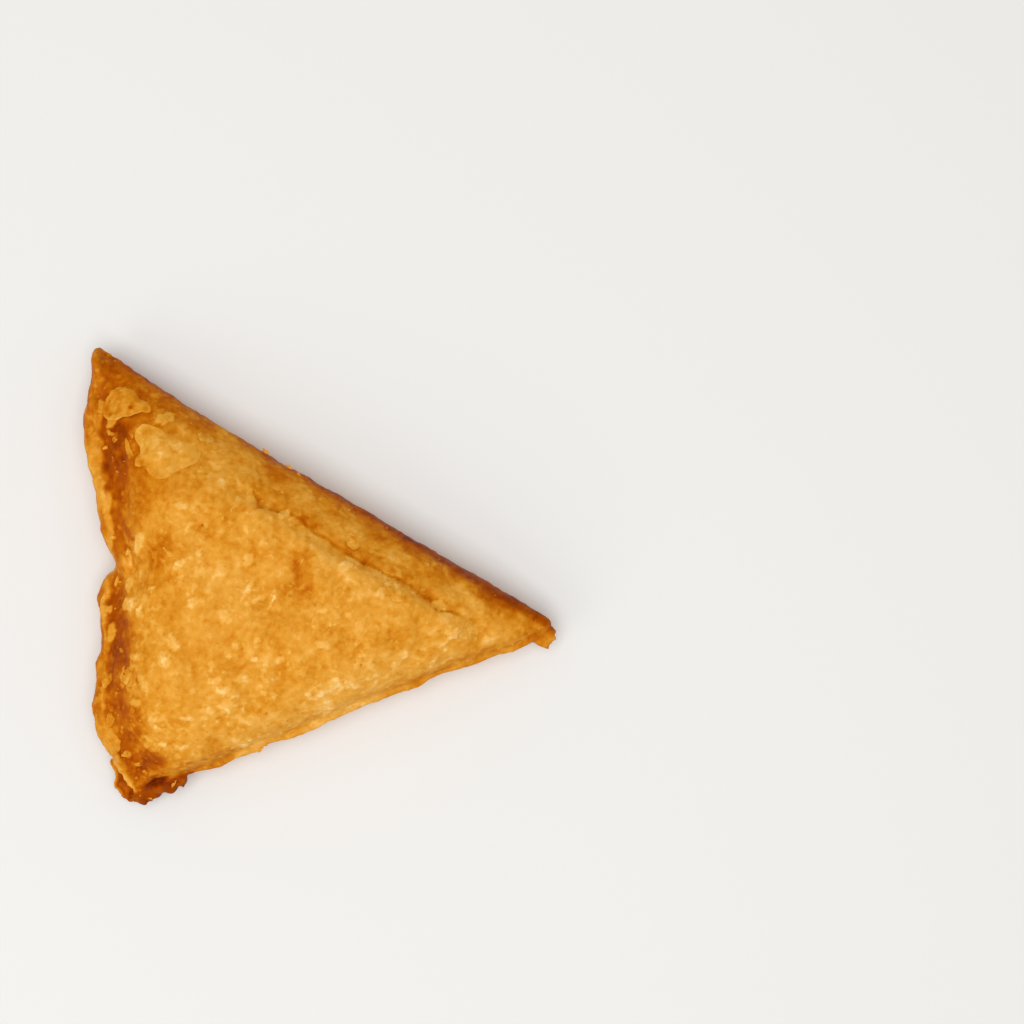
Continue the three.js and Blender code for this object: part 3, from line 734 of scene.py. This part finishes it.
def build_crust_group():
    """Group that turns how pale and how brown a spot is into the crust's colour, roughness and fine relief.
    The tone is a base, plus clouds, mottles, grain and flecks that fade where the crust is brown, plus pale
    and less brown."""
    tree = bpy.data.node_groups.new("fried pastry", "ShaderNodeTree")
    for name in ("Pale", "Brown"):
        tree.interface.new_socket(name, in_out="INPUT", socket_type="NodeSocketFloat")
    tree.interface.new_socket("Color", in_out="OUTPUT", socket_type="NodeSocketColor")
    for name in ("Roughness", "Height"):
        tree.interface.new_socket(name, in_out="OUTPUT", socket_type="NodeSocketFloat")
    given, result = tree.nodes.new("NodeGroupInput"), tree.nodes.new("NodeGroupOutput")
    place = add_node(tree, "ShaderNodeTexCoord").outputs["Object"]

    def noise(size_mm, detail, roughness, distortion=0.0):
        """Soft noise of a size, as a number round 0."""
        node = add_node(
            tree, "ShaderNodeTexNoise", Vector=place, Scale=1000 / size_mm, Detail=detail,
            Roughness=roughness, Distortion=distortion,
        )
        return math_node(tree, "SUBTRACT", node.outputs["Fac"], 0.5)

    cloud, mottle, grain = noise(15, 3, 0.55, 0.6), noise(4.5, 4, 0.6, 0.5), noise(1.2, 3, 0.6)
    # Powdery flecks: the peaks of a fine noise, only where a slow one lets them
    flecks = add_node(tree, "ShaderNodeMapRange", _0=noise(1.6, 1, 0.5), _1=0.07, _2=0.13).outputs[0]
    allowed = add_node(tree, "ShaderNodeMapRange", _0=noise(7, 2, 0.5), _1=-0.12, _2=0.08).outputs[0]
    flecks = math_node(tree, "MULTIPLY", flecks, allowed)

    patches = math_node(tree, "MULTIPLY_ADD", cloud, 0.36, math_node(tree, "MULTIPLY", mottle, 0.42))
    patches = math_node(tree, "MULTIPLY_ADD", grain, 0.42, patches)
    patches = math_node(tree, "MULTIPLY_ADD", flecks, 0.13, patches)
    evenness = math_node(tree, "MULTIPLY_ADD", given.outputs["Brown"], -0.45, 1)
    tone = math_node(tree, "MULTIPLY_ADD", patches, evenness, PLAIN_TONE)
    tone = math_node(tree, "MULTIPLY_ADD", given.outputs["Pale"], PALE_TONE, tone)
    tone = math_node(tree, "MULTIPLY_ADD", given.outputs["Brown"], BROWN_TONE, tone)
    ramp = add_node(tree, "ShaderNodeValToRGB", Fac=tone)
    stops = ramp.color_ramp.elements
    stops[0].position, stops[0].color = TOAST[0][0], linear(*TOAST[0][1])
    stops[1].position, stops[1].color = TOAST[-1][0], linear(*TOAST[-1][1])
    for position, colour in TOAST[1:-1]:
        stops.new(position).color = linear(*colour)

    rough = math_node(tree, "MULTIPLY_ADD", mottle, 0.3, 0.46)
    rough = math_node(tree, "MULTIPLY_ADD", given.outputs["Pale"], 0.08, rough)
    rough = math_node(tree, "MULTIPLY_ADD", given.outputs["Brown"], -0.12, rough)
    height = math_node(tree, "MULTIPLY_ADD", mottle, 0.5, math_node(tree, "MULTIPLY", grain, 0.45))
    height = math_node(tree, "MULTIPLY_ADD", flecks, 0.12, height)
    tree.links.new(ramp.outputs["Color"], result.inputs["Color"])
    tree.links.new(rough, result.inputs["Roughness"])
    tree.links.new(height, result.inputs["Height"])
    return tree


crust_group = build_crust_group()


def crust_material(name, bump_strength, bump_mm):
    """Crust finish: the group's colour and roughness, its relief as bump, and some light under the skin."""
    material = bpy.data.materials.new(name)
    material.use_nodes = True
    tree = material.node_tree
    shader = tree.nodes["Principled BSDF"]
    pastry = add_node(tree, "ShaderNodeGroup", {"node_tree": crust_group})
    for socket in ("Pale", "Brown"):
        source = add_node(tree, "ShaderNodeAttribute", {"attribute_name": socket.lower()})
        tree.links.new(source.outputs["Fac"], pastry.inputs[socket])
    bump = add_node(
        tree, "ShaderNodeBump", Strength=bump_strength, Distance=bump_mm * MM,
        Height=pastry.outputs["Height"],
    )
    tree.links.new(pastry.outputs["Color"], shader.inputs["Base Color"])
    tree.links.new(pastry.outputs["Roughness"], shader.inputs["Roughness"])
    tree.links.new(bump.outputs["Normal"], shader.inputs["Normal"])
    shader.inputs["Subsurface Weight"].default_value = 0.1
    shader.inputs["Subsurface Radius"].default_value = (1.0, 0.45, 0.12)
    shader.inputs["Subsurface Scale"].default_value = 0.8 * MM
    shader.inputs["IOR"].default_value = 1.45
    shader.inputs["Specular IOR Level"].default_value = 0.03
    return material


def dress(mesh, pale, brown, material):
    """Stores how pale and how brown each vertex is, shades the faces smooth and gives the mesh its finish."""
    write_attribute(mesh, "brown", brown)
    write_attribute(mesh, "pale", pale)
    mesh.polygons.foreach_set("use_smooth", np.ones(len(mesh.polygons), bool))
    mesh.materials.clear()
    mesh.materials.append(material)


dress(fused, np.clip(pale, 0, 1.5), np.clip(brown, 0, 1.5), crust_material("golden crust", 0.6, 0.3))
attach(crust, "root")
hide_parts("samosa")


# The flaking skins: paper-thin outer layers that puffed off the dough in the oil and stayed paler. Each is a
# closed sheet on the crust, fused to it in the middle, with a ragged edge that curls up here and there.

SKIN_THICKNESS, SKIN_ROOT, SKIN_REACH = 0.13, 0.45, 1.6
# Rings and sectors of a skin's grid for each millimetre that it reaches, and the fewest and the most of them
RINGS_PER_MM, SECTORS_PER_MM, RINGS, SECTORS = 6, 28, (6, 14), (24, 84)
# Paleness of a skin in its middle, and how much paler its edge is
SKIN_PALE, EDGE_PALER = 0.35, 0.45
# The side whose edge stands free, as an angle in plan: the low left
FREE_EDGE = np.radians(235)
# Height, paleness and brownness of the crust's upper side, to lay the skins on
facing_top = normals[:, 2] > 0.15
crust_top = np.column_stack([places, pale, brown])[facing_top]


def crust_under(at_x, at_y, around, width=0.45):
    """Height, paleness and brownness of the crust at places in plan: the mean of the vertices round each,
    weighted by a bell curve of their distance."""
    gaps = (at_x[..., None] - around[:, 0]) ** 2 + (at_y[..., None] - around[:, 1]) ** 2
    weights = np.exp(-gaps / (2 * width**2)) + 1e-9
    return np.moveaxis(weights @ around[:, 2:] / weights.sum(axis=-1, keepdims=True), -1, 0)


def skin_sheet(middle, outline, ragged, proud, puff, curl, seed):
    """Closed sheet on a polar grid: out from its middle over the top, and back under it. Its height is the
    crust's, plus a puff that falls to the edge, plus a curl of the edge at some angles. On the side away
    from the free edge it sinks into the crust. The under face leaves the top by the sheet's thickness at
    the edge and sinks into the crust towards the middle. The larger the skin, the more steps its grid has.
    Also how pale and how brown it is at each point."""
    reach = np.hypot(*np.transpose(outline)).max()
    rings = int(np.clip(RINGS_PER_MM * reach, *RINGS))
    sectors = int(np.clip(SECTORS_PER_MM * reach, *SECTORS))
    angle = np.arange(sectors) / sectors * 2 * np.pi
    way = np.sin(np.linspace(0, np.pi / 2, rings))[:, None]
    radius = way * outline_radius(outline, angle, seed, ragged)
    at_x, at_y = middle[0] + radius * np.cos(angle), middle[1] + radius * np.sin(angle)
    near = np.hypot(crust_top[:, 0] - middle[0], crust_top[:, 1] - middle[1]) < radius.max() + SKIN_REACH
    crust_height, crust_pale, crust_brown = crust_under(at_x, at_y, crust_top[near])
    phase = np.random.default_rng(seed + 500).uniform(0, 2 * np.pi, 3)
    lifted = np.clip(sum(np.sin(k * angle + phase[k - 1]) for k in (1, 2, 3)) / 1.8, 0, 1)
    wrinkle = 0.06 * np.sin(3 * angle + 7 * way + phase[0]) + 0.03 * np.sin(8 * angle - 5 * way + phase[1])
    wrinkle = wrinkle * smoothstep(way, 0, 0.6)
    sunk = smoothstep(way * np.cos(angle - FREE_EDGE - np.pi), 0.45, 0.95)
    top = crust_height + (proud + puff * (1 - way**2) + wrinkle) * (1 - sunk) - 0.3 * sunk
    top = top + curl * lifted * (1 - sunk) * smoothstep(way, 0.75, 1)
    root = (top - crust_height + SKIN_ROOT) * (1 - smoothstep(way, 0.75, 0.98))
    under = top - SKIN_THICKNESS - np.maximum(root, 0)
    own_pale = SKIN_PALE + EDGE_PALER * smoothstep(way, 0.82, 1)
    pale = own_pale + (crust_pale - own_pale) * sunk
    brown = crust_brown * (0.35 + 0.65 * sunk)
    columns = [(at_x, at_x), (at_y, at_y), (top, under), (pale, pale), (brown, brown)]
    *points, pale, brown = (np.vstack([over, beneath[::-1]]) for over, beneath in columns)
    return np.stack(points, axis=-1), pale, brown


def on_vertices(grid):
    """A number for each vertex of the closed surface of a grid, whose first and last row are its poles."""
    return np.concatenate([grid[:1, 0], grid[1:-1].ravel(), grid[-1:, 0]])


# Smaller ones, seeded over the face and the left folds
SMALL_SKINS, SMALL_HALF = 60, (0.35, 1.1)
rng = np.random.default_rng(SEED + 9)
on_face = (inside["lower"] > 2) * (inside["long"] > 2) * (x > valley_x - 1)
chance = up * on_face * (0.6 + near_left + toward_left)
for spot in rng.choice(len(places), SMALL_SKINS, replace=False, p=chance / chance.sum()):
    half = SMALL_HALF[0] + (SMALL_HALF[1] - SMALL_HALF[0]) * rng.random() ** 2
    shape = oval(half, half * rng.uniform(0.4, 0.9), rng.uniform(0, 180))
    SKINS.append((tuple(places[spot, :2]), shape, 0.15, 0.03, 0.05, 0.05))

sheets = [skin_sheet(*skin, seed) for seed, skin in enumerate(SKINS)]
vertices, faces = joined([points for points, _, _ in sheets])
skins = mesh_object("flaking_skins", vertices + SHIFT, faces)
patchy = 0.3 * wavy(vertices, 2.6, SEED + 12) + 0.15 * wavy(vertices, 1.1, SEED + 13)
# A small burst hole in the uppermost skin, shown as a brown spot: middle in plan, radius, how brown
HOLE_X, HOLE_Y, HOLE_RADIUS, HOLE_BROWN = -36.2, 33, 0.4, 0.8
hole = np.exp(-((vertices[:, 0] - HOLE_X) ** 2 + (vertices[:, 1] - HOLE_Y) ** 2) / HOLE_RADIUS**2)
skin_pale = np.concatenate([on_vertices(grid) for _, grid, _ in sheets]) + patchy
skin_brown = np.concatenate([on_vertices(grid) for _, _, grid in sheets]) + HOLE_BROWN * hole
dress(skins.data, skin_pale, skin_brown, crust_material("pale skin", 0.5, 0.25))
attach(skins, "root")


# Loose flakes and crumbs of crust: chips that broke off the layers and stuck to the edges, and crumbs as fine
# as semolina over the face, whose pale colour also stands for painted glints. Each is a small closed lump
# that touches the crust.

# Middle in plan, half length, half width, turn in degrees, pitch in degrees
CHIPS = [
    (-10.3, 24.6, 0.9, 0.35, 140, 25), (-5.6, 21.5, 0.8, 0.3, 155, 20), (-3.6, 19.9, 0.7, 0.35, 120, 30),
    (-11.4, -34.3, 0.7, 0.3, 40, -15), (-10.2, -33.1, 0.5, 0.3, 80, -20), (-33.4, -44, 0.6, 0.25, 150, -10),
    (-28.6, -41.1, 0.8, 0.3, 60, -10), (-41.2, 25.2, 0.7, 0.35, 15, 30), (-37.8, -35.1, 0.8, 0.4, 15, 20),
    (-6.4, 16.4, 0.6, 0.3, 100, 20), (-2.1, 3.2, 0.7, 0.25, 60, 25), (0.2, -5.5, 0.6, 0.25, 100, 20),
]
CHIP_THICKNESS, CHIP_BEND, CHIP_LIFT = 0.09, 0.5, 0.1


def chip_surface(x, y, half_length, half_width, turn, pitch, steps=9, sides=14):
    """A flat ragged lens, bent up as the square of the way along it, then pitched and turned."""
    tilt, angle = round_grid(steps, sides)
    ragged = 1 + 0.15 * np.sin(3 * angle + x) + 0.1 * np.sin(5 * angle + y)
    along = half_length * ragged * np.cos(tilt) * np.cos(angle)
    aside = half_width * ragged * np.cos(tilt) * np.sin(angle)
    height = -CHIP_THICKNESS * np.sin(tilt) + CHIP_BEND * along**2 / half_length
    along, height = turned(0, 0, along, height, pitch)
    ground = crust_under(np.array([x]), np.array([y]), crust_top)[0][0]
    return np.stack([*turned(x, y, along, aside, turn), ground + CHIP_LIFT + height], axis=-1)


CRUMBS, CRUMB_HALF, CRUMB_PALE_AND_GLINT, CRUMB_BROWN = 150, (0.1, 0.26), (0.2, 1.2), 0.15
tilt, angle = round_grid(5, 6)
ball = [np.cos(tilt) * np.cos(angle), np.cos(tilt) * np.sin(angle), -np.sin(tilt)]
lump = np.stack(np.broadcast_arrays(*ball), axis=-1)
rng = np.random.default_rng(SEED + 14)
chance = up * above_table
crumb_grids = []
for spot in rng.choice(len(places), CRUMBS, replace=False, p=chance / chance.sum()):
    half = CRUMB_HALF[0] + (CRUMB_HALF[1] - CRUMB_HALF[0]) * rng.random() ** 2
    size = half * rng.uniform(0.6, 1.3, 3) * (1, 1, 0.6)
    crumb_grids.append(places[spot] + normals[spot] * 0.3 * half + lump * size)

vertices, faces = joined([*[chip_surface(*chip) for chip in CHIPS], *crumb_grids])
crumbs = mesh_object("flakes_and_crumbs", vertices + SHIFT, faces)
rng = np.random.default_rng(SEED + 15)
# A random paleness for each vertex: the crumbs' own dry colour, with the palest ones as painted glints
crumb_pale_and_glint, crumb_brown = rng.uniform(*CRUMB_PALE_AND_GLINT, len(vertices)), np.full(len(vertices), CRUMB_BROWN)
dress(crumbs.data, crumb_pale_and_glint, crumb_brown, crust_material("dry crumb", 0.3, 0.1))
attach(crumbs, "root")


# The table, the light and the camera, which looks straight down from above the middle of the picture.

TABLE_HALF, TABLE_COLOUR, LIGHT_HEIGHT, WORLD_LIGHT = 3000, (232, 231, 228), 1.1, 0.45
corners = [(-1, -1, 0), (1, -1, 0), (1, 1, 0), (-1, 1, 0)]
floor = mesh_object("floor", np.array(corners) * TABLE_HALF, [(0, 1, 2, 3)])
pale_floor = bpy.data.materials.new("pale floor")
pale_floor.use_nodes = True
pale_floor.node_tree.nodes["Principled BSDF"].inputs["Base Color"].default_value = linear(*TABLE_COLOUR)
pale_floor.node_tree.nodes["Principled BSDF"].inputs["Roughness"].default_value = 0.7
floor.data.materials.append(pale_floor)


def area_light(name, size, power, location):
    """A square softbox that faces the samosa."""
    data = bpy.data.lights.new(name, "AREA")
    data.size, data.energy = size, power
    light = bpy.data.objects.new(name, data)
    light.location = location
    light.rotation_mode = "QUATERNION"
    light.rotation_quaternion = (-Vector(location)).to_track_quat("-Z", "Y")
    bpy.context.scene.collection.objects.link(light)


area_light("overhead softbox", 1.0, 8.8, (-0.08, -0.12, LIGHT_HEIGHT))
area_light("low left softbox", 0.5, 1.4, (-0.7, -0.5, 0.55))
world = bpy.data.worlds.new("studio")
world.use_nodes = True
world.node_tree.nodes["Background"].inputs["Color"].default_value = (1, 1, 1, 1)
world.node_tree.nodes["Background"].inputs["Strength"].default_value = WORLD_LIGHT
bpy.context.scene.world = world
bpy.context.scene.view_settings.view_transform = "Standard"

# The middle of the picture in the outline's millimetres, and the width that it takes in at the rim's height
PICTURE_MIDDLE, PICTURE_WIDTH, PICTURE_HEIGHT = (38.2, 12.6), 201.2, 9.0
LENS, SENSOR = 100, 36
camera_data = bpy.data.cameras.new("camera")
camera_data.lens, camera_data.sensor_width = LENS, SENSOR
camera = bpy.data.objects.new("camera", camera_data)
camera.location = (
    (PICTURE_MIDDLE[0] + SHIFT[0]) * MM, (PICTURE_MIDDLE[1] + SHIFT[1]) * MM,
    (PICTURE_HEIGHT + PICTURE_WIDTH * LENS / SENSOR) * MM,
)
bpy.context.scene.collection.objects.link(camera)
bpy.context.scene.camera = camera
